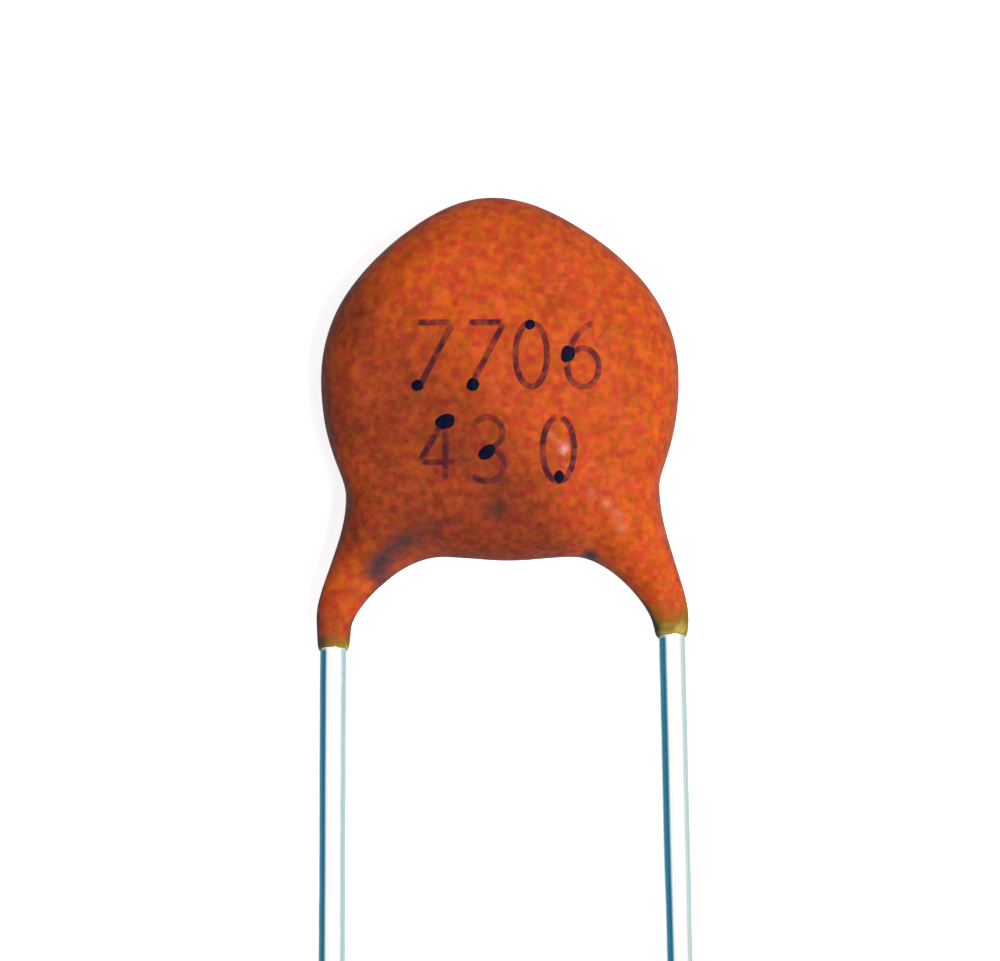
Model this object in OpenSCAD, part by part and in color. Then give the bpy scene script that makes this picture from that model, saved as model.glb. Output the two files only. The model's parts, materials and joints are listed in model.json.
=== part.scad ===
// Ceramic disc capacitor: a silvered ceramic disc between two soldered wires, dipped in resin.
// It lies on its back: the front face looks up +Z and the wires run towards -Y.
// The origin is on the table, under the middle of the whole part.

/* [Ceramic disc] */
// Diameter of the ceramic disc
disc_d = 6.5; // [6:0.1:9]
// Thickness of the ceramic disc
disc_t = 1.0; // [0.5:0.05:1.6]
// Radius on the two edges of the ceramic disc
disc_edge = 0.1; // [0.04:0.01:0.2]

/* [Silver and solder] */
// Bare ceramic left round each silver film
silver_margin = 0.45; // [0.2:0.05:0.8]
// Thickness of each silver film
silver_t = 0.02; // [0.01:0.005:0.05]
// Solder left between a wire and the silver
solder_film = 0.03; // [0.02:0.005:0.06]
// Width of the solder across the wire
solder_w = 1.5; // [1.1:0.1:2]
// Height the solder climbs up the wire's sides
solder_h = 0.42; // [0.3:0.02:0.5]
// Thickness of the solder at its outer edge
solder_lip = 0.04; // [0.02:0.01:0.08]
// Straight length of the solder along the wire
solder_len = 1.6; // [1:0.1:2.2]
// How far the solder's straight length runs past the end of the wire
solder_past = 0.15; // [0.05:0.05:0.4]

/* [Wires] */
// Wire diameter
wire_d = 0.6; // [0.45:0.05:0.7]
// Distance between the wires where they leave the resin
pitch = 7.5; // [6.5:0.25:8.25]
// Bare wire below the longer leg
wire_len = 25; // [10:1:35]
// Bend radius of the wires, to their centre line
bend_r = 0.9; // [0.7:0.05:1.2]
// Outward lean of the left wire, in degrees
left_lean = 0.35; // [0:0.05:3]
// Outward lean of the right wire, in degrees
right_lean = 1.5; // [0:0.05:3]
// Sideways offset of the pair of wires from the middle of the disc
wire_shift = 0.06; // [-0.2:0.02:0.2]
// Drop of each wire's knee below the resin of the disc
knee_drop = 0.95; // [0.85:0.05:1.2]
// Clearance outside the ceramic's rim where each wire has come level
rim_clear = 0.25; // [0.15:0.05:0.5]
// How far each wire's end has crossed the middle line of the disc
end_across = 0.2; // [0:0.05:0.4]
// Height of each wire's end above the middle of the disc
end_up = 0; // [-0.2:0.05:0.4]

/* [Resin] */
// Resin beyond the rim of the ceramic disc
rim_coat = 0.71; // [0.5:0.05:1.2]
// Resin over each silver film
face_coat = 0.45; // [0.35:0.02:0.7]
// Extra resin at the middle of each face
face_crown = 0.28; // [0.1:0.02:0.4]
// Resin over the top of a wire
wire_coat = 0.25; // [0.15:0.02:0.4]
// Further resin over a wire's soldered end
solder_coat = 0.16; // [0:0.02:0.2]
// Half-width of the ridge that a wire raises
ridge_w = 2.0; // [1.2:0.1:3]
// Resin round a wire at the widest place of a leg
leg_coat = 0.08; // [0.08:0.01:0.2]
// Resin round a wire at the end of a leg
tip_coat = 0.05; // [0.04:0.01:0.08]
// Length of the left leg below the disc's resin
left_leg = 2.0; // [1.8:0.05:3]
// Length of the right leg below the disc's resin
right_leg = 1.7; // [1.65:0.05:3]
// Drop of the legs' widest place below the disc's resin
leg_shoulder = 1.3; // [1.1:0.05:1.5]
// How far the two shoulders of the dome are drawn in
dome_flat = 0.18; // [0:0.02:0.3]
// Angle up the dome at which they are drawn in most
dome_shoulder = 54; // [45:1:60]
// How far the top of the dome stands above a true circle
dome_rise = 0.06; // [0:0.02:0.2]
// How far the top of the dome leans to the left
dome_lean = 0.15; // [0:0.02:0.3]
// How far the two waists are drawn in
waist_pinch = 0.5; // [0.2:0.02:0.7]
// Place of the left waist, as a share of the way down to the leg's widest place
left_waist = 0.5; // [0.4:0.01:0.6]
// Place of the right waist, as the same share
right_waist = 0.455; // [0.4:0.01:0.6]
// Width of the web from the left leg to the bottom edge of the disc
left_web = 2.0; // [1.4:0.1:2.4]
// Width of the web from the right leg to the bottom edge of the disc
right_web = 1.75; // [1.4:0.05:2.4]
// Height of the webs from the bottom edge down the legs
web_h = 1.65; // [1.2:0.05:1.7]
// Sag of the bottom edge between the webs
edge_sag = 0.09; // [0:0.01:0.2]
// How far the bottom edge hangs below a true circle
edge_drop = 0.08; // [0:0.02:0.2]

/* [Hidden] */

LEFT = -1;
RIGHT = 1;
FRONT = 1;
BACK = -1;

disc_r = disc_d / 2;
wire_r = wire_d / 2;
silver_r = disc_r - silver_margin;
silver_top = disc_t / 2 + silver_t;
wire_rise = silver_top + solder_film + wire_r;
body_r = disc_r + rim_coat;
plate_half = silver_top + face_coat;

bend_neck = 0.003;
bend_lap = 3;
wire_facets = 48;
disc_facets = 128;

// ---- Heights and places that both the wires and the resin follow ----

function leg_end(side) = -(body_r + (side == LEFT ? left_leg : right_leg));
function lean(side) = side * (side == LEFT ? left_lean : right_lean);
function wire_x(side, y) = side * pitch / 2 + wire_shift + (leg_end(side) - y) * tan(lean(side));
wire_end_y = -(body_r + left_leg + wire_len);
knee_y = -(body_r + knee_drop);
function knee(side) = [wire_x(side, knee_y), knee_y];
function inner_end(side) = [-side * end_across, end_up];

// Way along the slant, from the knee, to where a wire is level with the disc's face.
function along(side) = unit(inner_end(side) - knee(side));
function landing(side) =
    let (k = knee(side), b = k * along(side))
    -b - sqrt(b * b - k * k + pow(disc_r + rim_clear, 2));

// ---- Small helpers ----

function unit(v) = v / norm(v);
function mix(a, b, t) = a + (b - a) * t;
function clamp01(t) = min(max(t, 0), 1);
function ease(t) = let (c = clamp01(t)) c * c * (3 - 2 * c);
function share(t, from, to) = clamp01((t - from) / (to - from));
function swell(x) = (x + sqrt(x * x + ridge_blend * ridge_blend)) / 2;
function lesser(a, b) = a * b / pow(pow(a, 4) + pow(b, 4), 1 / 4);
function cross2(u, v) = u.x * v.y - u.y * v.x;
function bezier(a, b, c, d, t) =
    let (s = 1 - t) s * s * s * a + 3 * s * s * t * b + 3 * s * t * t * c + t * t * t * d;

// ---- Outline of the resin, one side at a time, from a leg's end (0) to the middle line (1) ----

// How much of the way each stretch takes
at_shoulder = 0.06;
at_waist = 0.3;
at_equator = 0.53;
at_web = 0.07;
at_crown = 0.46;

// How straight each curve leaves its two ends, as a share of its height or width
tip_pull = 0.4;
shoulder_pull = 0.22;
waist_pull_down = 0.36;
waist_pull_up = 0.2;
equator_pull = 0.6;
web_foot_pull = 0.32;
web_crown_pull = 0.42;

shoulder_y = -(body_r + leg_shoulder);
crown_y = -(body_r + edge_drop - edge_sag);
web_y = crown_y - web_h;

function beside_wire(side, y, out) = [wire_x(side, y) + side * out, y];
function tip_out(side) = beside_wire(side, leg_end(side), wire_r + tip_coat);
function tip_in(side) = beside_wire(side, leg_end(side), -(wire_r + tip_coat));
function shoulder(side) = beside_wire(side, shoulder_y, wire_r + leg_coat);
function waist(side) =
    [side * (body_r - waist_pinch) + wire_shift,
     shoulder_y * (side == LEFT ? left_waist : right_waist)];
function web_foot(side) = beside_wire(side, web_y, -(wire_r + leg_coat));
function web_w(side) = side == LEFT ? left_web : right_web;
function crown(side) = [web_foot(side).x - side * web_w(side), crown_y];
bottom_x = (crown(LEFT).x + crown(RIGHT).x) / 2;

// A curve that leaves a and reaches b along Y, with its two pulls as shares of the drop.
function upright_curve(a, b, pull_a, pull_b, t) =
    let (drop = b.y - a.y) bezier(a, a + [0, pull_a * drop], b - [0, pull_b * drop], b, t);

function dome(side, angle) =
    let (skewed = 90 * pow(angle / 90, log(0.5) / log(dome_shoulder / 90)),
         r = body_r - dome_flat * (1 - cos(4 * skewed)) / 2,
         top = pow(sin(angle), 4))
    [side * r * cos(angle) - dome_lean * top, r * sin(angle) + dome_rise * top];

function outer(side, k) =
    k < at_shoulder ?
        upright_curve(tip_out(side), shoulder(side), tip_pull, tip_pull, share(k, 0, at_shoulder))
    : k < at_waist ?
        upright_curve(shoulder(side), waist(side), shoulder_pull, waist_pull_down,
                      share(k, at_shoulder, at_waist))
    : k < at_equator ?
        upright_curve(waist(side), dome(side, 0), waist_pull_up, equator_pull, share(k, at_waist, at_equator))
    : dome(side, 90 * share(k, at_equator, 1));

function inner(side, k) =
    let (foot = web_foot(side), top = crown(side))
    k < at_web ? upright_curve(tip_in(side), foot, tip_pull, tip_pull, share(k, 0, at_web))
    : k < at_crown ?
        bezier(foot, foot + [0, web_foot_pull * web_h], top + [side * web_crown_pull * web_w(side), 0], top,
               share(k, at_web, at_crown))
    : let (t = share(k, at_crown, 1))
        [mix(top.x, bottom_x, t), crown_y - edge_sag * (1 - cos(180 * t)) / 2];

// ---- Thickness of the resin ----

ridge_blend = 0.06;   // rounds the foot of a ridge into the face
ridge_shape = 1.3;    // 1 falls away like a tent, 2 like a bell
thins_from = 0.85;    // share of the body's radius where the face starts to fall to the legs

// Height of a wire's centre line, a way s along its slant from the knee.
function wire_z(side, s) = wire_rise * clamp01(s / landing(side));

// Resin face over a wire: how high it stands at p, and how near p is to the wire.
function ridge(side, p, plate) =
    let (k = knee(side),
         run_in = norm(inner_end(side) - k),
         s = min(max((p - k) * along(side), 0), run_in),
         away = norm(p - k - s * along(side)),
         coat = mix(leg_coat, wire_coat, share(s, 0, landing(side)))
             + solder_coat * share(s, landing(side), run_in),
         cover = wire_z(side, s) + wire_r + coat)
    swell(cover - plate) * exp(-pow(away / ridge_w, ridge_shape));

function half_thickness(p, face, leg_half) =
    let (r = norm(p),
         on_disc = ease((norm(knee(RIGHT)) - r) / (norm(knee(RIGHT)) - thins_from * body_r)),
         plate = mix(leg_half, plate_half + face_crown * (1 - pow(min(r / body_r, 1), 2)), on_disc))
    plate + ridge(face == FRONT ? RIGHT : LEFT, p, plate);

// ---- Ribs: closed sections of the resin from its inner edge to its outer edge ----

ribs_a_side = 40;
steps_across = 24;
tangent_step = 0.004;
least_squareness = 0.4;

function rim_share(rim, width) = sqrt(rim / width / 2);

// Place across a rib and share of the full thickness there, for q from 0 (inner) to 1 (outer).
function across(q, width, rim_in, rim_out) =
    let (q_in = rim_share(rim_in, width), q_out = rim_share(rim_out, width))
    q < q_in ? [rim_in * (1 - cos(90 * q / q_in)), sin(90 * q / q_in)]
    : q > 1 - q_out ?
        let (a = 90 * (1 - q) / q_out) [width - rim_out * (1 - cos(a)), sin(a)]
    : [mix(rim_in, width - rim_out, share(q, q_in, 1 - q_out)), 1];

function rib(side, k) =
    let (a = inner(side, k),
         b = outer(side, k),
         width = norm(b - a),
         dir = (b - a) / width,
         before = max(k - tangent_step, 0),
         after = min(k + tangent_step, 1),
         square_in = squareness(dir, inner(side, after) - inner(side, before)),
         square_out = squareness(dir, outer(side, after) - outer(side, before)),
         rim_in = lesser(plate_half / square_in, width / 2),
         rim_out = lesser(plate_half / square_out, width / 2),
         leg_half = wire_r + mix(tip_coat, leg_coat, ease(k / at_shoulder)))
    [for (j = [0 : 2 * steps_across - 1])
        let (front = j <= steps_across,
             q = (front ? j : 2 * steps_across - j) / steps_across,
             at = across(q, width, rim_in, rim_out),
             p = a + dir * at.x,
             face = front ? FRONT : BACK)
        [p.x, p.y, face * at.y * half_thickness(p, face, leg_half)]];

function squareness(dir, edge) = max(abs(cross2(dir, unit(edge))), least_squareness);

ribs = [for (i = [0 : ribs_a_side]) rib(LEFT, i / ribs_a_side),
        for (i = [ribs_a_side - 1 : -1 : 0]) rib(RIGHT, i / ribs_a_side)];
skin = [for (r = ribs) each r];
around = len(ribs[0]);

// Two triangles between neighbouring ribs, split along the shorter diagonal.
function quad(a, b) =
    let (c = a + around, d = b + around)
    norm(skin[a] - skin[d]) < norm(skin[b] - skin[c]) ? [[a, b, d], [a, d, c]] : [[a, b, c], [b, d, c]];

module dipped_skin() {
    last = (len(ribs) - 1) * around;
    polyhedron(
        points = skin,
        faces = [
            [for (j = [around - 1 : -1 : 0]) j],
            for (i = [0 : len(ribs) - 2], j = [0 : around - 1])
                each quad(i * around + j, i * around + (j + 1) % around),
            [for (j = [0 : around - 1]) last + j]
        ],
        convexity = 6
    );
}

// ---- How the part comes to rest: on its belly and on the ends of its two wires ----

function belly(tip) = -min([for (p = skin) p.y * sin(tip) + p.z * cos(tip)]);
function settle(tip, tries) =
    tries == 0 ? tip : settle(asin((belly(tip) - wire_r * cos(tip)) / -wire_end_y), tries - 1);
rest_tip = settle(0, 5);

function wire_edge(side) = wire_x(side, wire_end_y) + side * wire_r * cos(lean(side));
left_edge = min(min([for (p = skin) p.x]), wire_edge(LEFT));
right_edge = max(max([for (p = skin) p.x]), wire_edge(RIGHT));
low_edge = wire_end_y * cos(rest_tip) - wire_r * sin(rest_tip);
high_edge = max([for (p = skin) p.y * cos(rest_tip) - p.z * sin(rest_tip)]);

module lie_down() {
    translate([-(left_edge + right_edge) / 2, -(low_edge + high_edge) / 2, belly(rest_tip)])
        rotate([rest_tip, 0, 0])
            children();
}

// ---- Wires ----

module on_axes(origin, x_dir, y_dir, z_dir) {
    multmatrix([
        [x_dir.x, y_dir.x, z_dir.x, origin.x],
        [x_dir.y, y_dir.y, z_dir.y, origin.y],
        [x_dir.z, y_dir.z, z_dir.z, origin.z],
        [0, 0, 0, 1]
    ]) children();
}

// A straight run of wire up +Z, and what follows at its end.
module run(length) {
    cylinder(h = length, r = wire_r, $fn = wire_facets);
    translate([0, 0, length]) children();
}

// A bend from +Z towards +X, and what follows at its end. The wire necks a little where it is
// bent, so the bend's two ends seat inside the runs that it joins.
module turn(angle) {
    translate([bend_r, 0, 0])
        rotate([90, 0, 180])
            rotate([0, 0, -bend_lap])
                rotate_extrude(angle = angle + 2 * bend_lap, $fn = 2 * wire_facets)
                    translate([bend_r, 0])
                        circle(r = wire_r - bend_neck, $fn = wire_facets);
    translate([bend_r * (1 - cos(angle)), 0, bend_r * sin(angle)])
        rotate([0, angle, 0])
            children();
}

function angle_between(u, v) = acos(u * v);
function cut_back(angle) = bend_r * tan(angle / 2);

// The whole wire of one side: bare run, knee in the leg, rise to the disc and level end.
module wire(side) {
    face = side == RIGHT ? FRONT : BACK;
    land = knee(side) + landing(side) * along(side);
    tip = [wire_x(side, wire_end_y), wire_end_y, 0];
    bend_1 = [knee(side).x, knee(side).y, 0];
    bend_2 = [land.x, land.y, face * wire_rise];
    end = [inner_end(side).x, inner_end(side).y, face * wire_rise];

    way_1 = unit(bend_1 - tip);
    way_2 = unit(bend_2 - bend_1);
    way_3 = unit(end - bend_2);
    hinge_1 = unit(cross(way_1, way_2));
    hinge_2 = unit(cross(way_2, way_3));
    angle_1 = angle_between(way_1, way_2);
    angle_2 = angle_between(way_2, way_3);
    roll = atan2(cross(hinge_1, hinge_2) * way_2, hinge_1 * hinge_2);

    on_axes(bend_1 - cut_back(angle_1) * way_1, cross(hinge_1, way_1), hinge_1, way_1) {
        rotate([180, 0, 0]) run(norm(bend_1 - tip) - cut_back(angle_1));
        turn(angle_1)
            run(norm(bend_2 - bend_1) - cut_back(angle_1) - cut_back(angle_2))
                rotate([0, 0, roll])
                    turn(angle_2)
                        run(norm(end - bend_2) - cut_back(angle_2));
    }
}

// ---- Solder ----

solder_contact = 0.6; // half-width of the solder's top, as a share of the wire's radius

// Half of the solder's section: a flat top against the wire and a hollow flank out to a thin lip.
module solder_half() {
    top_half = wire_r * solder_contact;
    flank_w = solder_w / 2 - top_half;
    climb = solder_h - solder_lip;
    flank_r = (flank_w * flank_w + climb * climb) / (2 * climb);
    difference() {
        square([solder_w / 2, solder_h]);
        translate([solder_w / 2, solder_lip + flank_r])
            circle(r = flank_r, $fn = wire_facets);
    }
}

// The whole mound, lying along +X with its base on z = 0 and its round end past the origin.
module solder_mound() {
    translate([solder_past, 0, 0])
        rotate([0, 0, -90])
            rotate_extrude(angle = 180, $fn = disc_facets) solder_half();
    translate([solder_past - solder_len, 0, 0])
        rotate([0, 0, 90])
            rotate_extrude(angle = 180, $fn = disc_facets) solder_half();
    translate([solder_past, 0, 0])
        rotate([90, 0, -90])
            linear_extrude(height = solder_len) {
                solder_half();
                mirror([1, 0]) solder_half();
            }
}

module solder_place(side) {
    face = side == RIGHT ? FRONT : BACK;
    end = inner_end(side);
    x_dir = [along(side).x, along(side).y, 0];
    z_dir = [0, 0, face];
    on_axes([end.x, end.y, face * silver_top], x_dir, cross(z_dir, x_dir), z_dir)
        children();
}

module solder(side) {
    difference() {
        solder_place(side) solder_mound();
        wire(side);
    }
}

// ---- Disc and silver ----

module disc_shape() {
    rotate_extrude($fn = disc_facets) {
        translate([0, -disc_t / 2]) square([disc_r - disc_edge, disc_t]);
        translate([0, -disc_t / 2 + disc_edge]) square([disc_r, disc_t - 2 * disc_edge]);
        for (z = [-1, 1])
            translate([disc_r - disc_edge, z * (disc_t / 2 - disc_edge)])
                circle(r = disc_edge, $fn = wire_facets);
    }
}

module silver(face) {
    translate([0, 0, face == FRONT ? disc_t / 2 : -silver_top])
        cylinder(h = silver_t, r = silver_r, $fn = disc_facets);
}

// The room that both silver films take in the resin, through the disc from one to the other.
module silver_room() {
    translate([0, 0, -silver_top]) cylinder(h = 2 * silver_top, r = silver_r, $fn = disc_facets);
}

// ---- The pieces ----

module coating() {
    color([0.78, 0.34, 0.15])
        lie_down()
            difference() {
                dipped_skin();
                disc_shape();
                silver_room();
                solder_place(RIGHT) solder_mound();
                solder_place(LEFT) solder_mound();
                wire(RIGHT);
                wire(LEFT);
            }
}

module ceramic_disc() {
    color([0.86, 0.8, 0.68]) lie_down() disc_shape();
}

module front_electrode() {
    color([0.8, 0.8, 0.82]) lie_down() silver(FRONT);
}

module back_electrode() {
    color([0.8, 0.8, 0.82]) lie_down() silver(BACK);
}

module front_solder() {
    color([0.62, 0.63, 0.66]) lie_down() solder(RIGHT);
}

module back_solder() {
    color([0.62, 0.63, 0.66]) lie_down() solder(LEFT);
}

module front_lead() {
    color([0.85, 0.87, 0.88]) lie_down() wire(RIGHT);
}

module back_lead() {
    color([0.85, 0.87, 0.88]) lie_down() wire(LEFT);
}

coating();
ceramic_disc();
front_electrode();
back_electrode();
front_solder();
back_solder();
front_lead();
back_lead();
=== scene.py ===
# Ceramic disc capacitor lying on its back: dipped resin, tinned wires and stamped figures.
import json
import math

import bmesh
import bpy
from mathutils import Matrix, Vector, noise
from mathutils.bvhtree import BVHTree


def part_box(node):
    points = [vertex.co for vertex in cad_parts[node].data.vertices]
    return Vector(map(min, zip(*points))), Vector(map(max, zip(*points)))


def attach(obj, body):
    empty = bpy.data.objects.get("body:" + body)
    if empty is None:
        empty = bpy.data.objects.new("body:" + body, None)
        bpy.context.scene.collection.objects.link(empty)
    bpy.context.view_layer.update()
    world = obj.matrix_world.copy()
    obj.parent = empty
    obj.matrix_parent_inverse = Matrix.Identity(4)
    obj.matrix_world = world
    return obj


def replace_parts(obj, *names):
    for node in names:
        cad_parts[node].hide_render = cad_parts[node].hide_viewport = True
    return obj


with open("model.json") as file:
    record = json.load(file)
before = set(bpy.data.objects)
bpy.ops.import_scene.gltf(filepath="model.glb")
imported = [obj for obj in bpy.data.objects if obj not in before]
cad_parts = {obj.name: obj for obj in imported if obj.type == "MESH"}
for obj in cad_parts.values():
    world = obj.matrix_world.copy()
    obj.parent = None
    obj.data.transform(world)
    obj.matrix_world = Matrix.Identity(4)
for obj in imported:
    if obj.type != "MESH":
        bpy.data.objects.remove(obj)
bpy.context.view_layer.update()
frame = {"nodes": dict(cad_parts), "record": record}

scene = bpy.context.scene
mm = 0.001      # pieces are modelled in millimetres and brought to metres at the end
tiny = 0.0004   # millimetres within which corners are one
hair = 0.00001  # millimetres within which a corner lies on a cut


def boxMiddle(node):
    low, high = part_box(node)
    return (low + high) / 2 / mm


def wirePlace(mountName):
    mount = next(m for m in frame["record"]["mounts"] if m["name"] == mountName)
    tip = Vector(mount["pos_m"]) / mm
    way = Vector(mount["axis"]).normalized()  # towards the cut end
    length = mount["dims"]["length_mm"]
    return {"way": way, "length": length, "radius": mount["dims"]["r_mm"], "legEnd": tip - way * length}


discMiddle = boxMiddle("ceramic_disc")
wirePlaces = {"front_lead": wirePlace("right_wire"), "back_lead": wirePlace("left_wire")}


def besideDisc(across, up):
    # a point seen from the front, measured from the middle of the disc
    return Vector((discMiddle.x + across, discMiddle.y + up))


def smoothstep(low, high, value):
    t = min(max((value - low) / (high - low), 0), 1)
    return t * t * (3 - 2 * t)


def meshToPiece(name, mesh, material):
    for face in mesh.polygons:
        face.use_smooth = True
    piece = bpy.data.objects.new(name, mesh)
    scene.collection.objects.link(piece)
    mesh.materials.clear()
    mesh.materials.append(material)
    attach(piece, "root")
    return piece


def bmeshToMesh(name, bm):
    # a bmesh in millimetres becomes a mesh in metres
    bmesh.ops.scale(bm, vec=(mm, mm, mm), verts=bm.verts)
    mesh = bpy.data.meshes.new(name)
    bm.to_mesh(mesh)
    bm.free()
    return mesh


def subdivided(bm, levels):
    # the same bmesh after Catmull-Clark subdivision, still in millimetres
    mesh = bpy.data.meshes.new("coarse")
    bm.to_mesh(mesh)
    bm.free()
    coarse = bpy.data.objects.new("coarse", mesh)
    scene.collection.objects.link(coarse)
    modifier = coarse.modifiers.new("subdivision", "SUBSURF")
    modifier.levels = modifier.render_levels = levels
    fine = bpy.data.meshes.new_from_object(coarse.evaluated_get(bpy.context.evaluated_depsgraph_get()))
    result = bmesh.new()
    result.from_mesh(fine)
    bpy.data.objects.remove(coarse)
    bpy.data.meshes.remove(mesh)
    bpy.data.meshes.remove(fine)
    return result


def cadCopy(node):
    # a merged copy of a CAD node's mesh, in millimetres
    bm = bmesh.new()
    bm.from_mesh(frame["nodes"][node].data)
    bmesh.ops.scale(bm, vec=(1 / mm, 1 / mm, 1 / mm), verts=bm.verts)
    bmesh.ops.remove_doubles(bm, verts=bm.verts, dist=tiny)
    return bm


def connected(start):
    found, front = {start}, [start]
    while front:
        vert = front.pop()
        for edge in vert.link_edges:
            other = edge.other_vert(vert)
            if other not in found:
                found.add(other)
                front.append(other)
    return found


coating = {
    "trim": 0.1,            # cut off each leg before its thin end is drawn out
    "trimReach": 1,         # length of leg that the cut looks at
    "joinAngle": 40,        # triangles flatter than this to each other become one face again
    "levels": 2,
    "endSteps": [(0.05, 0.92), (0.05, 0.7), (0.04, 0.42), (0.025, 0.16), (0.01, -0.15)],  # advance, film left
    "endArch": 0.65,        # share of the advance that is missing on top of the wire
    "endRagged": (1.7, 0.12, 9),  # how fast and by what share the advance varies round the wire, seed
    "thin": {               # along a leg, where the film starts to thin and is thinnest
        "front_lead": (-1.5, 0.15),
        "back_lead": (-0.75, 0.12),
    },
    "steep": (0.25, 0.72),  # how level the skin lies where the painted rim shade is full and ends
    "rim": (0.62, 0.33),    # how dark the painted rim shade is where it faces left and right
    "rimTurn": (-0.6, 0.2),  # how far to the right the skin faces between the two
    "waves": [(0.45, 0.02), (1.9, 0.0055), (6.0, 0.0016)],  # waves to a millimetre, height
    "calmEnd": -0.3,        # along a leg, where the waves and mounds start to fade
    "upward": 0.3,          # how far up the skin faces where there are mounds
    "tightness": 2,         # how fast a mound falls off towards its edge
    "spots": [              # across, up, width, height: pimples and pits
        (-0.13, -2.82, 0.3, -0.04), (-2.1, 2.05, 0.2, 0.02), (2.6, 1.15, 0.22, 0.016),
        (-2.9, -0.7, 0.2, -0.018), (0.75, 3.05, 0.22, 0.016), (-1.15, -2.3, 0.16, -0.018),
        (3.05, -1.75, 0.2, 0.016), (-0.7, 1.95, 0.16, -0.014),
    ],
    "glossyDrop": 0.026,    # height from which a drop has its full gloss
    "glints": [             # across, up, width, height: smooth drops along the ridge
        (1.36, -1.52, 0.27, 0.042), (1.1, -1.25, 0.28, 0.012), (1.42, -1.9, 0.22, 0.014),
        (1.97, -2.54, 0.32, 0.013), (2.35, -2.76, 0.36, 0.015), (2.6, -2.98, 0.34, 0.014),
        (2.63, -3.3, 0.4, 0.016), (0.78, -2.95, 0.3, 0.007),
    ],
}


def trimLegs(bm):
    # cuts both legs square and leaves the outer skin alone, open at the two cuts
    for place in wirePlaces.values():
        side = math.copysign(1, place["legEnd"].x)
        cut = place["legEnd"] - place["way"] * coating["trim"]
        limit = cut.y + coating["trimReach"]
        near = [face for face in bm.faces if all(v.co.x * side > 0 and v.co.y < limit for v in face.verts)]
        geometry = set(near)
        for face in near:
            geometry.update(face.verts, face.edges)
        bmesh.ops.bisect_plane(bm, geom=list(geometry), dist=hair, plane_co=cut, plane_no=place["way"],
                               clear_outer=True)
    outside = connected(max(bm.verts, key=lambda v: v.co.y))
    bmesh.ops.delete(bm, geom=[v for v in bm.verts if v not in outside], context="VERTS")


def drawOutLegEnd(bm, place):
    # the film thins out over the wire and closes just inside it
    side = math.copysign(1, place["legEnd"].x)
    loop = [e for e in bm.edges if e.is_boundary and e.verts[0].co.x * side > 0]
    advance = 0
    start = {}
    for step, film in coating["endSteps"]:
        made = bmesh.ops.extrude_edge_only(bm, edges=loop)["geom"]
        loop = [e for e in made if isinstance(e, bmesh.types.BMEdge) and e.is_boundary]
        advance += step
        for vert in {v for e in loop for v in e.verts}:
            offset = vert.co - place["legEnd"]
            along = offset.dot(place["way"])
            out = offset - place["way"] * along
            key = round(math.atan2(out.z, out.x), 3)
            if key not in start:
                start[key] = (along, out.length)
            firstAlong, firstOut = start[key]
            rate, depth, seed = coating["endRagged"]
            ragged = 1 + depth * noise.noise(out.normalized() * rate + Vector((side * seed, 0, 0)))
            ragged -= coating["endArch"] * smoothstep(0, 1, out.normalized().z)
            radius = place["radius"] + (firstOut - place["radius"]) * film
            vert.co = (place["legEnd"] + place["way"] * (firstAlong + advance * ragged)
                       + out.normalized() * radius)
    bmesh.ops.holes_fill(bm, edges=loop, sides=0)


def piledUp(piles, tightness, point):
    # what a list of round piles, each with a place, width and height, comes to at a point
    total = 0
    for across, up, width, height in piles:
        away = (point.xy - besideDisc(across, up)).length
        total += height * math.exp(-(away / width * tightness) ** 2)
    return total


def mounds(kind, point):
    return piledUp(coating[kind], coating["tightness"], point)


# Painted shade on the resin: a darker half beside the crest over the front wire, a darker bottom band, and
# darker and lighter spots; with grime spots that are partly painted shade
shadeAndGrime = {
    "crest": ((-0.65, 0.25), (0.8, -1.0)),  # a point on the crest over the front wire, and its way down
    "fade": (0.45, -1.15),          # beside the crest, where the painted shade starts and is full
    "shaded": 0.5,                  # how dark the painted shade on the far half is
    "top": (1.3, -1.2),             # up, where the painted shade is weak and full
    "weak": 0.5,                    # share of the painted shade at the top
    "legs": (-4.5, -3.3),           # up, where the painted shade ends on the left leg
    "edge": (-3.95, -3.3, 0.22),    # up, from and to, and how much darker the painted shade of the bottom band is
    "edgeStart": (-2.6, -1.6),      # X where the bottom band starts and is full
    "edgeEnd": (1.5, 0.5),          # X where it ends and is still full
    "tightness": 1.6,               # how fast a spot fades towards its edge
    "shadeSpots": [                     # painted shade spots: across, up, width, how much darker (below 0 is lighter)
        (-1.9, -3.45, 0.7, 0.2), (-0.6, -3.3, 1.1, 0.1), (-3.3, 1.3, 0.9, 0.25), (1.3, 3.35, 0.7, 0.15),
        (-3.65, -5.45, 0.8, 0.25), (2.0, -2.6, 0.9, -0.22), (0.4, 0.1, 1.5, 0.07), (-3.3, -2.0, 0.8, -0.25),
        (-1.8, -2.4, 1.6, -0.1),
    ],
    "grime": [                      # grime spots, partly painted shade in the crease at the left leg's root, in the pit and on the leg ends: across, up, width, how dark
        (-2.75, -4.31, 0.55, 0.6), (-2.5, -3.95, 0.5, 0.65), (-2.15, -3.62, 0.55, 0.5),
        (-1.66, -3.38, 0.7, 0.4), (-1.1, -3.2, 0.6, 0.2), (-3.05, -4.85, 0.3, 0.35),
        (-0.07, -2.85, 0.42, 0.62), (-4.0, -5.8, 0.36, 0.7), (-3.35, -5.5, 0.3, 0.3),
        (1.99, -3.9, 0.26, 0.7), (3.42, -5.5, 0.3, 0.7), (3.25, -5.15, 0.25, 0.4),
        (1.2, -1.75, 0.7, 0.25), (-3.95, -5.3, 0.35, 0.35),
    ],
}


def spotsAt(kind, point):
    return piledUp(shadeAndGrime[kind], shadeAndGrime["tightness"], point)


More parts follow.
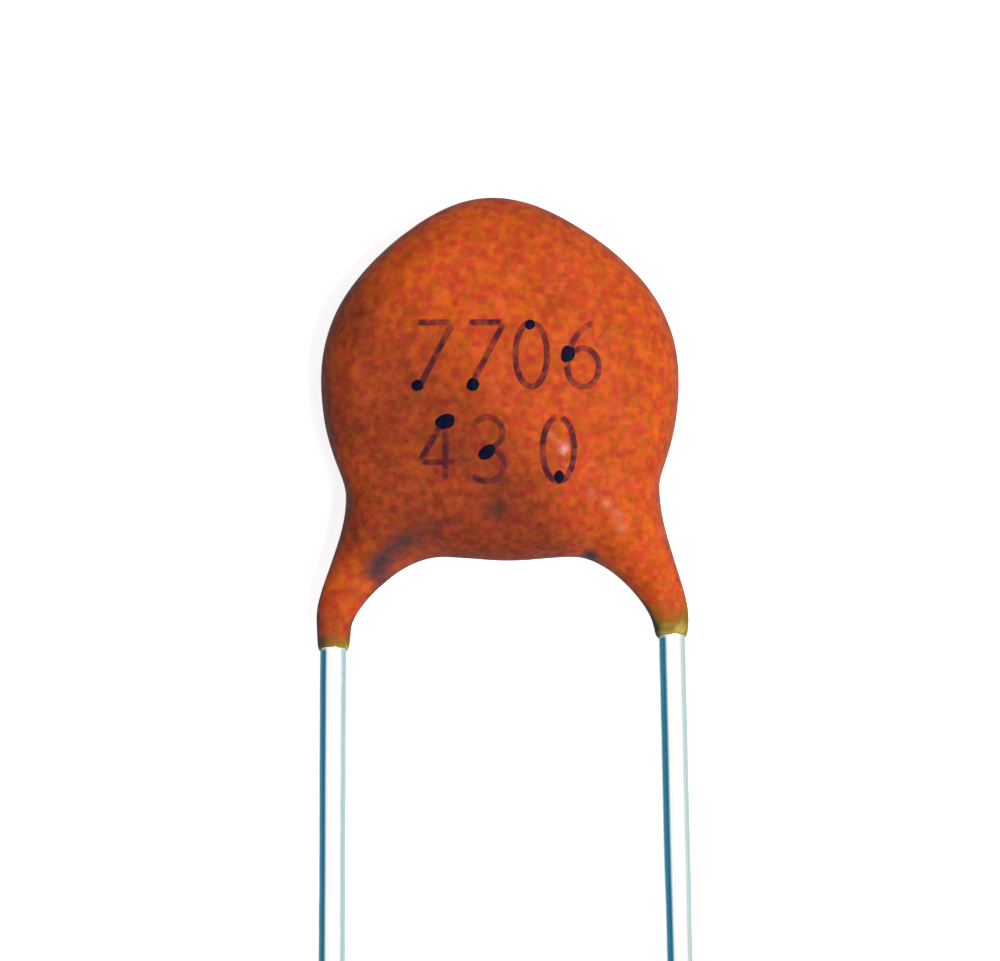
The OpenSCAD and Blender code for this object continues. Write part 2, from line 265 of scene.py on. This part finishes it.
def paintedShadeAt(point):
    # painted shade, 0 for plain resin up to 1 for the darkest
    foot, way = besideDisc(*shadeAndGrime["crest"][0]), Vector(shadeAndGrime["crest"][1]).normalized()
    beside = (point.xy - foot).dot(Vector((-way.y, way.x)))
    up = point.y - discMiddle.y
    shadeShare = shadeAndGrime["shaded"] * smoothstep(*shadeAndGrime["fade"], beside) * smoothstep(*shadeAndGrime["legs"], up)
    shadeShare *= shadeAndGrime["weak"] + (1 - shadeAndGrime["weak"]) * smoothstep(*shadeAndGrime["top"], up)
    # painted shade along the bottom edge
    low, high, darker = shadeAndGrime["edge"]
    band = smoothstep(*shadeAndGrime["edgeStart"], point.x) * smoothstep(*shadeAndGrime["edgeEnd"], point.x)
    return shadeShare + darker * (1 - smoothstep(low, high, up)) * band + spotsAt("shadeSpots", point)


def buildCoating(material):
    bm = cadCopy("coating")
    trimLegs(bm)
    bmesh.ops.join_triangles(bm, faces=bm.faces[:], angle_face_threshold=math.radians(coating["joinAngle"]),
                             angle_shape_threshold=math.radians(180))
    for place in wirePlaces.values():
        drawOutLegEnd(bm, place)
    bm = subdivided(bm, coating["levels"])
    bm.normal_update()
    thin = bm.verts.layers.float.new("thinFilm")
    # painted shade, and grime with painted shade on the rim, in creases and in pits
    shadeShare = bm.verts.layers.float.new("paintedShade")
    grime = bm.verts.layers.float.new("grime")
    glint = bm.verts.layers.float.new("glint")
    moves = []
    for vert in bm.verts:
        height = sum(depth * noise.noise(vert.co * rate) for rate, depth in coating["waves"])
        if vert.normal.z > coating["upward"]:
            drop = mounds("glints", vert.co)
            vert[glint] = min(drop / coating["glossyDrop"], 1)
            height += drop + mounds("spots", vert.co)
        node = next(node for node, place in wirePlaces.items() if place["legEnd"].x * vert.co.x >= 0)
        pastEnd = (vert.co - wirePlaces[node]["legEnd"]).dot(wirePlaces[node]["way"])
        moves.append(vert.normal * height * smoothstep(0, coating["calmEnd"], pastEnd))
        vert[thin] = smoothstep(*coating["thin"][node], pastEnd)
        vert[shadeShare] = paintedShadeAt(vert.co)
        # painted shade along the rim, darker where it faces left
        left, right = coating["rim"]
        rim = left + (right - left) * smoothstep(*coating["rimTurn"], vert.normal.x)
        rim *= 1 - smoothstep(*coating["steep"], abs(vert.normal.z))
        vert[grime] = spotsAt("grime", vert.co) + rim
    for vert, move in zip(bm.verts, moves):
        vert.co += move
    piece = meshToPiece("dipped_coating", bmeshToMesh("dipped_coating", bm), material)
    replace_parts(piece, "coating")
    return piece


wire = {
    "sides": 64,
    "ringStep": 0.12,       # between the rings of the bare run
    "insideResin": 0.45,    # length of new wire inside the leg, before the bends
    "firstRing": 0.02,      # from the old bends to the first new ring
    "calmStart": 1,         # length of bare wire in which the lumps and sway set in
    "lumps": [(0.35, 0.012), (1.4, 0.004)],  # waves to a millimetre, height
    "sway": (0.11, 0.025, 7),   # waves to a millimetre, how far off straight, seed
    "pinch": 0.5,           # length that the cutters squeezed
    "edge": 0.16,           # thickness left at the cut, as a share of the wire
    "spread": 1.12,         # width at the cut, as a share of the wire
    "paintedLeftReflection": (25, 32, 66, 80),   # degrees down the left flank: painted dark reflection starts, is full, ends
    # degrees down the right flank: painted pale reflection starts, is full, ends
    "paintedRightReflection": (43, 48, 66, 80),
}


def wireFrame(way):
    # two directions across the wire: to the left and upwards
    level = way.cross(Vector((0, 0, 1))).normalized()
    return level, level.cross(way).normalized()


def bandShare(band, turn):
    start, full, stillFull, end = wire[band]
    return smoothstep(start, full, turn) * (1 - smoothstep(stillFull, end, turn))


def buildWire(node, name, material):
    place = wirePlaces[node]
    level, above = wireFrame(place["way"])
    start = place["legEnd"] - place["way"] * wire["insideResin"]
    bm = cadCopy(node)
    bmesh.ops.bisect_plane(bm, geom=bm.verts[:] + bm.edges[:] + bm.faces[:], dist=hair, plane_co=start,
                           plane_no=place["way"], clear_outer=True)
    inner = [e for e in bm.edges if e.is_boundary]
    upright = Matrix((level, above, place["way"])).transposed().to_4x4()
    placed = Matrix.Translation(start + place["way"] * wire["firstRing"]) @ upright
    ring = bmesh.ops.create_circle(bm, segments=wire["sides"], radius=place["radius"], matrix=placed)["verts"]
    ringEdges = list({e for v in ring for e in v.link_edges})
    bmesh.ops.bridge_loops(bm, edges=inner + ringEdges)
    run = wire["insideResin"] - wire["firstRing"] + place["length"]
    steps = round(run / wire["ringStep"])
    edges = ringEdges
    for step in range(steps):
        made = bmesh.ops.extrude_edge_only(bm, edges=edges)["geom"]
        verts = [v for v in made if isinstance(v, bmesh.types.BMVert)]
        edges = [e for e in made if isinstance(e, bmesh.types.BMEdge) and e.is_boundary]
        bmesh.ops.translate(bm, verts=verts, vec=place["way"] * (run / steps))
    bmesh.ops.holes_fill(bm, edges=edges, sides=0)
    # painted reflections down the two flanks
    paintedLeftReflection = bm.verts.layers.float.new("paintedLeftReflection")
    paintedRightReflection = bm.verts.layers.float.new("paintedRightReflection")
    for vert in bm.verts:
        along = (vert.co - place["legEnd"]).dot(place["way"])
        if along < 0:
            continue
        centre = place["legEnd"] + place["way"] * along
        out = vert.co - centre
        calm = smoothstep(0, wire["calmStart"], along)
        swell = sum(depth * noise.noise(vert.co * rate) for rate, depth in wire["lumps"])
        squeeze = smoothstep(place["length"] - wire["pinch"], place["length"], along)
        across = out.dot(level) * (1 + (wire["spread"] - 1) * squeeze)
        upward = out.dot(above) * (1 + (wire["edge"] - 1) * squeeze)
        rate, depth, seed = wire["sway"]
        sway = depth * calm * (1 - squeeze) * noise.noise(Vector((along * rate, seed * level.x, start.x)))
        vert.co = centre + (level * across + above * upward) * (1 + calm * swell / place["radius"])
        vert.co += level * sway
        turn = math.degrees(math.atan2(out.dot(level), out.dot(above)))
        vert[paintedLeftReflection] = bandShare("paintedLeftReflection", turn)
        vert[paintedRightReflection] = bandShare("paintedRightReflection", -turn)
    bmesh.ops.recalc_face_normals(bm, faces=bm.faces[:])
    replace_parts(meshToPiece(name, bmeshToMesh(name, bm), material), node)


ink = {
    "stroke": 0.22,         # width of a line
    "step": 0.06,           # between points along a line
    "fewestSteps": 4,
    "strips": 4,            # faces across a line
    "crease": 45,           # edges turned more than this stay sharp
    "proud": (0.005, -0.006),   # height over the resin along a line's middle and its edges
    "depth": 0.02,
    "figure": (0.82, 1.4),  # width and height of one figure
    "rows": [               # figures, with each one's lower left corner beside the middle of the disc
        [("7", -1.84, -0.2), ("7", -0.73, -0.2), ("0", 0.27, -0.2), ("6", 1.4, -0.2)],
        [("4", -1.76, -2.26), ("3", -0.65, -2.26), ("0", 0.86, -2.26)],
    ],
    "blots": [              # across, up, across and along its long way, turn in degrees
        (-1.79, -0.17, 0.13, 0.14, 0), (-0.6, -0.15, 0.13, 0.15, 50), (0.66, 1.16, 0.11, 0.12, 0),
        (1.48, 0.51, 0.16, 0.2, 60), (-1.2, -0.95, 0.17, 0.21, 20), (-0.29, -1.61, 0.14, 0.22, 35),
        (1.28, -2.16, 0.12, 0.14, 80),
    ],
    "blotMesh": (40, 16),   # sides round a blot and from its foot to its top
    "blotHeight": 0.02,
    "blotSunk": 0.004,
    "ragged": (0.7, 0.25, 3),   # how fast and by what share a blot's edge varies, seed
    "fullCover": 0.9,       # ink at which a line covers the resin, before wear
    "worn": [               # what wears the lines: noise rate, seed, from and to, least and most cover left
        (6, 11, 0.25, 0.6, 0.5, 1), (2.2, 12, 0.3, 0.6, 0.6, 0.95),
    ],
    "line": (0.055, 0.011, 0.026),
    "blot": (0.002, 0.004, 0.020),
    "blotEdge": (0.020, 0.006, 0.030),
    "blotGrain": (12, 2, 13),       # rate to a millimetre, detail, seed
    "blotEdges": (0.45, 0.75),      # noise between which a blot turns to its second colour
    "blotRoughness": 0.5,
    "blotSpecular": 0.03,
}

# Lines and arcs in a figure 1 wide and 1 high: a line has two ends, an arc its middle, two radii
# and the angles at which it starts and ends.
figures = {
    "0": [("arc", (0.5, 0.5), (0.42, 0.5), 94, 446)],
    "3": [("arc", (0.46, 0.76), (0.4, 0.24), 150, -90), ("arc", (0.44, 0.26), (0.46, 0.26), 90, -150)],
    "4": [("line", (0.7, 1), (0, 0.3)), ("line", (0, 0.3), (1, 0.3)), ("line", (0.7, 0.85), (0.7, 0))],
    "6": [("arc", (0.5, 0.3), (0.42, 0.3), 142, 498), ("arc", (0.95, 0.32), (0.87, 0.68), 180, 100)],
    "7": [("line", (0, 1), (1, 1)), ("line", (1, 1), (0.1, 0))],
}


def strokePoint(stroke, share):
    # a point of one stroke in its figure, for a share of the way along it
    kind, start, end = stroke[0], Vector(stroke[1]), Vector(stroke[2])
    if kind == "line":
        return start.lerp(end, share)
    angle = math.radians(stroke[3] + (stroke[4] - stroke[3]) * share)
    return start + Vector((end.x * math.cos(angle), end.y * math.sin(angle)))


def onResin(skin, point):
    # the resin straight below a point seen from the front, and its normal
    farAbove = 20
    place, normal, face, away = skin.ray_cast(Vector((point.x, point.y, farAbove)), Vector((0, 0, -1)))
    return place, normal


def addStroke(bm, layers, skin, corner, stroke):
    def path(share):
        return corner + strokePoint(stroke, share) * Vector(ink["figure"])

    chords, ahead = 20, 0.01  # to measure the line's length and its direction
    length = sum((path((i + 1) / chords) - path(i / chords)).length for i in range(chords))
    steps = max(ink["fewestSteps"], round(length / ink["step"]))
    grid = bmesh.ops.create_grid(bm, x_segments=steps, y_segments=ink["strips"], size=1)["verts"]
    for vert in grid:
        share, across = (vert.co.x + 1) / 2, vert.co.y
        along = (path(share + ahead) - path(share - ahead)).normalized()
        point = path(share) + Vector((-along.y, along.x)) * across * ink["stroke"] / 2
        place, normal = onResin(skin, point)
        middle, edge = ink["proud"]
        vert.co = place + normal * (middle + (edge - middle) * across ** 2)
        fromEnd = min(share, 1 - share) * length / ink["stroke"] * 2
        vert[layers["inkDepth"]] = (1 - across * across) * min(1, fromEnd)
        # the painted shade of the resin below carries on under the line
        vert[layers["paintedShade"]] = paintedShadeAt(place)
    faces = list({face for vert in grid for face in vert.link_faces})
    bmesh.ops.recalc_face_normals(bm, faces=faces)
    bmesh.ops.solidify(bm, geom=faces, thickness=ink["depth"])
    for edge in {edge for vert in grid for edge in vert.link_edges}:
        edge.smooth = edge.calc_face_angle(0) < math.radians(ink["crease"])


def addBlot(bm, layers, skin, across, up, narrow, long, turn):
    place, normal = onResin(skin, besideDisc(across, up))
    level = Vector((math.cos(math.radians(turn)), math.sin(math.radians(turn)), 0))
    level = (level - normal * level.dot(normal)).normalized()
    aside = normal.cross(level)
    sides, rings = ink["blotMesh"]
    ball = bmesh.ops.create_uvsphere(bm, u_segments=sides, v_segments=rings, radius=1)["verts"]
    rate, depth, seed = ink["ragged"]
    for vert in ball:
        ragged = 1 + depth * noise.noise(Vector((*vert.co.xy.normalized(), across * seed + up)) * rate)
        point = place + (level * vert.co.x * long + aside * vert.co.y * narrow) * ragged
        foot, normal = onResin(skin, point)
        vert.co = foot + normal * (vert.co.z * ink["blotHeight"] - ink["blotSunk"])
        vert[layers["inkDepth"]] = 1
        # no painted shade under a blot
        vert[layers["paintedShade"]] = 0


def inkMesh():
    bm = bmesh.new()
    return bm, {name: bm.verts.layers.float.new(name) for name in ("inkDepth", "paintedShade")}


def buildInk(coatingPiece, lineMaterial, blotMaterial):
    skinMesh = bmesh.new()
    skinMesh.from_mesh(coatingPiece.data)
    bmesh.ops.scale(skinMesh, vec=(1 / mm, 1 / mm, 1 / mm), verts=skinMesh.verts)
    skin = BVHTree.FromBMesh(skinMesh)
    lines, lineLayers = inkMesh()
    for figure, across, up in (entry for row in ink["rows"] for entry in row):
        for stroke in figures[figure]:
            addStroke(lines, lineLayers, skin, besideDisc(across, up), stroke)
    blots, blotLayers = inkMesh()
    for blot in ink["blots"]:
        addBlot(blots, blotLayers, skin, *blot)
    skinMesh.free()
    meshToPiece("stamped_figures", bmeshToMesh("stamped_figures", lines), lineMaterial)
    meshToPiece("ink_blots", bmeshToMesh("ink_blots", blots), blotMaterial)


def newMaterial(name):
    material = bpy.data.materials.new(name)
    material.use_nodes = True
    return material, material.node_tree, material.node_tree.nodes["Principled BSDF"]


def addNode(tree, kind, inputs=(), **settings):
    node = tree.nodes.new(kind)
    for key, value in settings.items():
        setattr(node, key, value)
    for key, value in dict(inputs).items():
        if isinstance(value, bpy.types.NodeSocket):
            tree.links.new(value, node.inputs[key])
        else:
            node.inputs[key].default_value = value
    return node


def inMillimetres(tree, stretch=(1, 1, 1)):
    place = addNode(tree, "ShaderNodeTexCoord").outputs["Object"]
    scale = [s / mm for s in stretch]
    return addNode(tree, "ShaderNodeMapping", {"Vector": place, "Scale": scale}).outputs["Vector"]


def noiseOf(tree, vector, rate, detail, seed):
    facts = {"Vector": vector, "Scale": rate, "Detail": detail, "W": seed}
    return addNode(tree, "ShaderNodeTexNoise", facts, noise_dimensions="4D").outputs["Fac"]


def spread(tree, value, low, high, toLow=0.0, toHigh=1.0):
    ends = {"Value": value, "From Min": low, "From Max": high, "To Min": toLow, "To Max": toHigh}
    return addNode(tree, "ShaderNodeMapRange", ends, interpolation_type="SMOOTHSTEP").outputs["Result"]


def spreadPlain(tree, value, toLow, toHigh):
    ends = {"Value": value, "To Min": toLow, "To Max": toHigh}
    return addNode(tree, "ShaderNodeMapRange", ends).outputs["Result"]


def attributeOf(tree, name):
    return addNode(tree, "ShaderNodeAttribute", attribute_name=name).outputs["Fac"]


def roughened(tree, shader, height, distance, strength):
    bump = addNode(tree, "ShaderNodeBump", {"Height": height, "Distance": distance, "Strength": strength})
    tree.links.new(bump.outputs["Normal"], shader.inputs["Normal"])


def blended(tree, share, first, second):
    # factor, first and second colour are the colour mixer's sockets 0, 6 and 7
    node = addNode(tree, "ShaderNodeMix", data_type="RGBA")
    for index, value in ((0, share), (6, first), (7, second)):
        if isinstance(value, bpy.types.NodeSocket):
            tree.links.new(value, node.inputs[index])
        else:
            node.inputs[index].default_value = value if index == 0 else (*value, 1)
    return node.outputs[2]


def added(tree, first, second, operation="ADD"):
    return addNode(tree, "ShaderNodeMath", {0: first, 1: second}, operation=operation).outputs["Value"]


usual = (0.3, 0.7)  # what most of a noise lies between

resin = {
    "orange": (0.82, 0.132, 0.016),
    "redder": (0.72, 0.068, 0.026),
    "yellower": (0.56, 0.160, 0.009),
    "brown": (0.17, 0.030, 0.004),
    "pinker": (0.88, 0.130, 0.050),
    "duller": (0.40, 0.072, 0.004),
    # colour of the painted shade
    "shaded": (0.060, 0.015, 0.018),
    # colour of the grime and of the painted shade on the rim, in creases and in pits
    "grime": (0.024, 0.036, 0.050),
    "olive": (0.24, 0.15, 0.016),   # resin that thins over the wire
    "film": (0.55, 0.48, 0.10),     # the thinnest of it
    "noises": {             # rate to a millimetre, detail, seed
        "grain": (5.5, 0.8, 1), "fleck": (7.15, 0.8, 4), "speck": (6.05, 1.0, 9), "mottle": (2.4, 2.0, 14),
        "patch": (1.1, 2.0, 6), "patchiness": (3.36, 2.0, 21), "surface": (9.35, 1.5, 2), "film": (3.5, 2.0, 3),
    },
    "layers": [             # colour laid over the ones before, its noise, from and to, greatest share
        ("orange", "grain", 0.34, 0.66, 1), ("yellower", "fleck", 0.46, 0.74, 0.6),
        ("pinker", "mottle", 0.5, 0.75, 0.4), ("duller", "mottle", 0.5, 0.25, 0.4),
    ],
    "speck": (0.28, 0.76),          # noise between which a brown speck shows
    "speckled": (0.38, 0.62),       # how brown a speck is on plain resin and under the painted shade
    "speckledShade": 0.6,            # painted shade from which the specks are brownest
    "brownPatch": (0.45, 0.85, 0.35),
    "unevenShade": (1.2, 0.8),       # how strong the painted shade is in the patches and between them
    "unevenGrime": (0.7, 1.2),
    "mostGrime": 0.95,
    "unevenFilm": 0.13,
    "oliveFilm": (0.3, 0.85, 0.9),  # how thin the film is where it starts, and where it is full, share
    "yellowFilm": (0.7, 1.15, 0.9),
    "roughness": (0.46, 0.60),
    "glintRoughness": 0.8,          # share of it left on the smooth drops
    "glintEdge": (0.1, 0.9),        # share of a drop's gloss where it starts and is full
    "specular": (0.035, 0.65),      # of the plain resin and of the smooth drops
    "bumpHeight": 0.006 * mm,
}


def resinNoise(tree, place, name):
    return noiseOf(tree, place, *resin["noises"][name])


def overlaid(tree, colour, over, share, low, high, most):
    return blended(tree, spread(tree, share, low, high, 0, most), colour, over)


def resinColour(tree):
    # the speckled colour of the dipped resin with its painted shade, which the printing shares
    place = inMillimetres(tree)
    noises = {name: resinNoise(tree, place, name) for name in ("grain", "fleck", "speck", "mottle", "patch")}
    colour = resin["redder"]
    for name, source, low, high, most in resin["layers"]:
        colour = overlaid(tree, colour, resin[name], noises[source], low, high, most)
    # painted shade, uneven across the patches
    shadeShare = attributeOf(tree, "paintedShade")
    shadeShare = added(tree, shadeShare, spread(tree, noises["patch"], *usual, *resin["unevenShade"]), "MULTIPLY")
    browner = spread(tree, shadeShare, 0, resin["speckledShade"], *resin["speckled"])
    speck = added(tree, spread(tree, noises["speck"], *resin["speck"]), browner, "MULTIPLY")
    colour = blended(tree, speck, colour, resin["brown"])
    colour = overlaid(tree, colour, resin["brown"], noises["patch"], *resin["brownPatch"])
    return blended(tree, shadeShare, colour, resin["shaded"]), place


def grimedAndShaded(tree, colour, place):
    # grime, with painted shade on the rim, in creases and in pits, laid over a colour
    patchiness = spread(tree, resinNoise(tree, place, "patchiness"), *usual, *resin["unevenGrime"])
    grime = added(tree, attributeOf(tree, "grime"), patchiness, "MULTIPLY")
    return overlaid(tree, colour, resin["grime"], grime, 0, 1, resin["mostGrime"])


def resinSurface(tree, shader, place):
    grain = resinNoise(tree, place, "surface")
    glint = attributeOf(tree, "glint")
    gloss = spread(tree, glint, *resin["glintEdge"], *resin["specular"])
    tree.links.new(gloss, shader.inputs["Specular IOR Level"])
    smooth = spread(tree, glint, *resin["glintEdge"], 1, resin["glintRoughness"])
    rough = added(tree, spread(tree, grain, *usual, *resin["roughness"]), smooth, "MULTIPLY")
    tree.links.new(rough, shader.inputs["Roughness"])
    roughened(tree, shader, grain, resin["bumpHeight"], 1)


def resinMaterial():
    material, tree, shader = newMaterial("dippedResin")
    colour, place = resinColour(tree)
    most = resin["unevenFilm"]
    uneven = spread(tree, resinNoise(tree, place, "film"), *usual, -most, most)
    thin = added(tree, attributeOf(tree, "thinFilm"), uneven)
    colour = overlaid(tree, colour, resin["olive"], thin, *resin["oliveFilm"])
    colour = overlaid(tree, colour, resin["film"], thin, *resin["yellowFilm"])
    tree.links.new(grimedAndShaded(tree, colour, place), shader.inputs["Base Color"])
    resinSurface(tree, shader, place)
    return material


def inkLineMaterial():
    material, tree, shader = newMaterial("fadedInk")
    under, place = resinColour(tree)
    cover = spread(tree, attributeOf(tree, "inkDepth"), 0, ink["fullCover"])
    for rate, seed, low, high, least, most in ink["worn"]:
        worn = spread(tree, noiseOf(tree, place, rate, 1, seed), low, high, least, most)
        cover = added(tree, cover, worn, "MULTIPLY")
    tree.links.new(blended(tree, cover, under, ink["line"]), shader.inputs["Base Color"])
    resinSurface(tree, shader, place)
    return material


def inkBlotMaterial():
    material, tree, shader = newMaterial("inkBlot")
    grain = noiseOf(tree, inMillimetres(tree), *ink["blotGrain"])
    colour = blended(tree, spread(tree, grain, *ink["blotEdges"]), ink["blot"], ink["blotEdge"])
    tree.links.new(colour, shader.inputs["Base Color"])
    shader.inputs["Roughness"].default_value = ink["blotRoughness"]
    shader.inputs["Specular IOR Level"].default_value = ink["blotSpecular"]
    return material


tin = {
    "colour": (0.95, 0.955, 0.96),
    "dull": (0.86, 0.87, 0.88),
    # painted reflections down the flanks: dark teal on the left, pale grey-green on the right
    "paintedLeftReflection": (0.026, 0.18, 0.285),
    "paintedRightReflection": (0.45, 0.65, 0.63),
    "roughness": (0.16, 0.34),
    "drawn": (26.0, 2, 1),  # lines that the drawing left: rate to a millimetre, detail, seed
    "drawnStretch": 0.03,   # how much slower they change along the wire
    "patch": (2.2, 3, 5),
    "patchStretch": 0.35,
    "dullPatch": (0.5, 0.8, 0.6),   # noise where a dull patch starts and is full, share
    "bumpHeight": 0.0012 * mm,
    "bumpStrength": 0.6,
}


def tinMaterial():
    material, tree, shader = newMaterial("tinnedWire")
    drawn = noiseOf(tree, inMillimetres(tree, (1, tin["drawnStretch"], 1)), *tin["drawn"])
    patch = noiseOf(tree, inMillimetres(tree, (1, tin["patchStretch"], 1)), *tin["patch"])
    colour = overlaid(tree, tin["colour"], tin["dull"], patch, *tin["dullPatch"])
    # painted reflections laid down the flanks
    for band in ("paintedLeftReflection", "paintedRightReflection"):
        colour = blended(tree, attributeOf(tree, band), colour, tin[band])
    tree.links.new(colour, shader.inputs["Base Color"])
    shader.inputs["Metallic"].default_value = 1
    tree.links.new(spread(tree, patch, *usual, *tin["roughness"]), shader.inputs["Roughness"])
    roughened(tree, shader, drawn, tin["bumpHeight"], tin["bumpStrength"])
    return material


inner = {
    "ceramic": {"colour": (0.62, 0.50, 0.34), "second": (0.50, 0.39, 0.26), "rate": 9, "metal": 0,
                "roughness": (0.67, 0.83)},
    "silver": {"colour": (0.86, 0.85, 0.82), "second": (0.74, 0.72, 0.68), "rate": 14, "metal": 1,
               "roughness": (0.42, 0.58)},
    "solder": {"colour": (0.62, 0.63, 0.64), "second": (0.50, 0.51, 0.53), "rate": 3, "metal": 1,
               "roughness": (0.27, 0.43)},
}
innerGrain = {
    "detail": 3,
    "seed": 2,
    "colour": (0.35, 0.65),     # noise between which the colours change over
    "roughness": (0.2, 0.8),
    "bumpHeight": 0.004 * mm,
    "bumpStrength": 0.5,
}


def innerMaterial(name):
    facts = inner[name]
    material, tree, shader = newMaterial(name)
    grain = noiseOf(tree, inMillimetres(tree), facts["rate"], innerGrain["detail"], innerGrain["seed"])
    colour = blended(tree, spread(tree, grain, *innerGrain["colour"]), facts["colour"], facts["second"])
    rough = spread(tree, grain, *innerGrain["roughness"], *facts["roughness"])
    tree.links.new(colour, shader.inputs["Base Color"])
    tree.links.new(rough, shader.inputs["Roughness"])
    shader.inputs["Metallic"].default_value = facts["metal"]
    roughened(tree, shader, grain, innerGrain["bumpHeight"], innerGrain["bumpStrength"])
    return material


camera = {
    "lens": 150,
    "sensor": 36,
    "viewWidth": 22.12,     # at the middle of the coating's thickness
    "across": 0.0,          # of the view's middle, from the middle of the disc
    "up": -2.2416,
    "level": 1.5,           # height of the silhouette over the floor
    "clip": (0.001, 10),    # metres
}


def buildCamera():
    data = bpy.data.cameras.new("camera")
    data.lens, data.sensor_width = camera["lens"], camera["sensor"]
    data.clip_start, data.clip_end = camera["clip"]
    eye = bpy.data.objects.new("camera", data)
    scene.collection.objects.link(eye)
    middle = besideDisc(camera["across"], camera["up"])
    height = camera["level"] + camera["viewWidth"] * camera["lens"] / camera["sensor"]
    eye.location = Vector((middle.x, middle.y, height)) * mm
    scene.camera = eye


studio = {
    "floorSide": 1.2,               # metres
    "floorDrop": 0.01,              # how far the floor lies under the part
    "floorColour": (0.80, 0.84, 0.86),
    "floorRoughness": 0.9,
    "floorGlow": 0.80,              # how far the pale floor is lifted towards white
    "floorGloss": 0.2,              # the same for what polished surfaces show of it
    "keyFrom": (0.34, -0.12, 0.93),  # way to the lamp, from the part
    "keyAim": -5,                   # up from the middle of the disc
    "keyAway": 0.5,                 # metres
    "keySize": 0.16,
    "keyPower": 1.90,
    "keyColour": (1.0, 0.985, 0.96),
    "backdrop": (1.0, 1.0, 1.0),
    "horizon": (0.40, 0.44, 0.45),  # the backdrop low down, to polished surfaces
    "horizonTo": 0.35,              # sine of the height at which it is white
    "glossStrength": 1.0,
    "fill": (0.41, 0.12),           # strength from the lit side and from the dim side
    "fillWay": (-1.0, -0.1, 0.14),  # middle of the side that gets less fill
    "fillEdge": (-0.4, 0.8),        # cosines to it between which the fill changes
}


def rayKinds(tree):
    # 1 for rays from the lens, and 1 for those by way of a polished surface
    path = addNode(tree, "ShaderNodeLightPath").outputs
    return path["Is Camera Ray"], added(tree, path["Is Glossy Ray"], path["Is Transmission Ray"], "MAXIMUM")


def buildFloor():
    bm = bmesh.new()
    bmesh.ops.create_grid(bm, x_segments=1, y_segments=1, size=studio["floorSide"] / 2)
    bmesh.ops.translate(bm, verts=bm.verts, vec=(0, 0, -studio["floorDrop"] * mm))
    mesh = bpy.data.meshes.new("floor")
    bm.to_mesh(mesh)
    bm.free()
    floor = bpy.data.objects.new("floor", mesh)
    scene.collection.objects.link(floor)
    material, tree, shader = newMaterial("paleFloor")
    shader.inputs["Base Color"].default_value = (*studio["floorColour"], 1)
    shader.inputs["Roughness"].default_value = studio["floorRoughness"]
    shader.inputs["Specular IOR Level"].default_value = 0.0
    shader.inputs["Emission Color"].default_value = (1, 1, 1, 1)
    fromLens, polished = rayKinds(tree)
    glow = added(tree, spreadPlain(tree, fromLens, 0, studio["floorGlow"]),
                 spreadPlain(tree, polished, 0, studio["floorGloss"]), "MAXIMUM")
    tree.links.new(glow, shader.inputs["Emission Strength"])
    mesh.materials.append(material)


def buildKey():
    lamp = bpy.data.lights.new("key", "AREA")
    lamp.size = studio["keySize"]
    lamp.energy = studio["keyPower"]
    lamp.color = studio["keyColour"]
    key = bpy.data.objects.new("key", lamp)
    scene.collection.objects.link(key)
    way = Vector(studio["keyFrom"]).normalized()
    target = besideDisc(0, studio["keyAim"]).to_3d() * mm
    key.location = target + way * studio["keyAway"]
    key.rotation_euler = way.to_track_quat("Z", "Y").to_euler()


def buildBackdrop():
    world = bpy.data.worlds.new("studio")
    world.use_nodes = True
    tree = world.node_tree
    way = addNode(tree, "ShaderNodeTexCoord").outputs["Generated"]
    height = addNode(tree, "ShaderNodeSeparateXYZ", {"Vector": way}).outputs["Z"]
    dim = Vector(studio["fillWay"]).normalized()
    toDim = addNode(tree, "ShaderNodeVectorMath", {0: way, 1: dim}, operation="DOT_PRODUCT").outputs["Value"]
    risen = spread(tree, height, 0, studio["horizonTo"])
    around = blended(tree, risen, studio["horizon"], studio["backdrop"])
    fromLens, polished = rayKinds(tree)
    colour = blended(tree, polished, studio["backdrop"], around)
    strength = spreadPlain(tree, polished, 0, studio["glossStrength"])
    fill = spread(tree, toDim, *studio["fillEdge"], *studio["fill"])
    strength = added(tree, added(tree, strength, fill, "MAXIMUM"), fromLens, "MAXIMUM")
    background = tree.nodes["Background"]
    tree.links.new(colour, background.inputs["Color"])
    tree.links.new(strength, background.inputs["Strength"])
    scene.world = world
    scene.view_settings.view_transform = "Standard"


print("camera and light")
buildCamera()
buildFloor()
buildKey()
buildBackdrop()

print("dipped resin")
dippedCoating = buildCoating(resinMaterial())

print("stamped figures")
buildInk(dippedCoating, inkLineMaterial(), inkBlotMaterial())

print("tinned wires")
tinned = tinMaterial()
buildWire("front_lead", "front_wire", tinned)
buildWire("back_lead", "back_wire", tinned)

print("disc, silver and solder inside")
for node, finish in (("ceramic_disc", "ceramic"), ("front_electrode", "silver"), ("back_electrode", "silver"),
                     ("front_solder", "solder"), ("back_solder", "solder")):
    piece = frame["nodes"][node]
    piece.data.materials.clear()
    piece.data.materials.append(innerMaterial(finish))
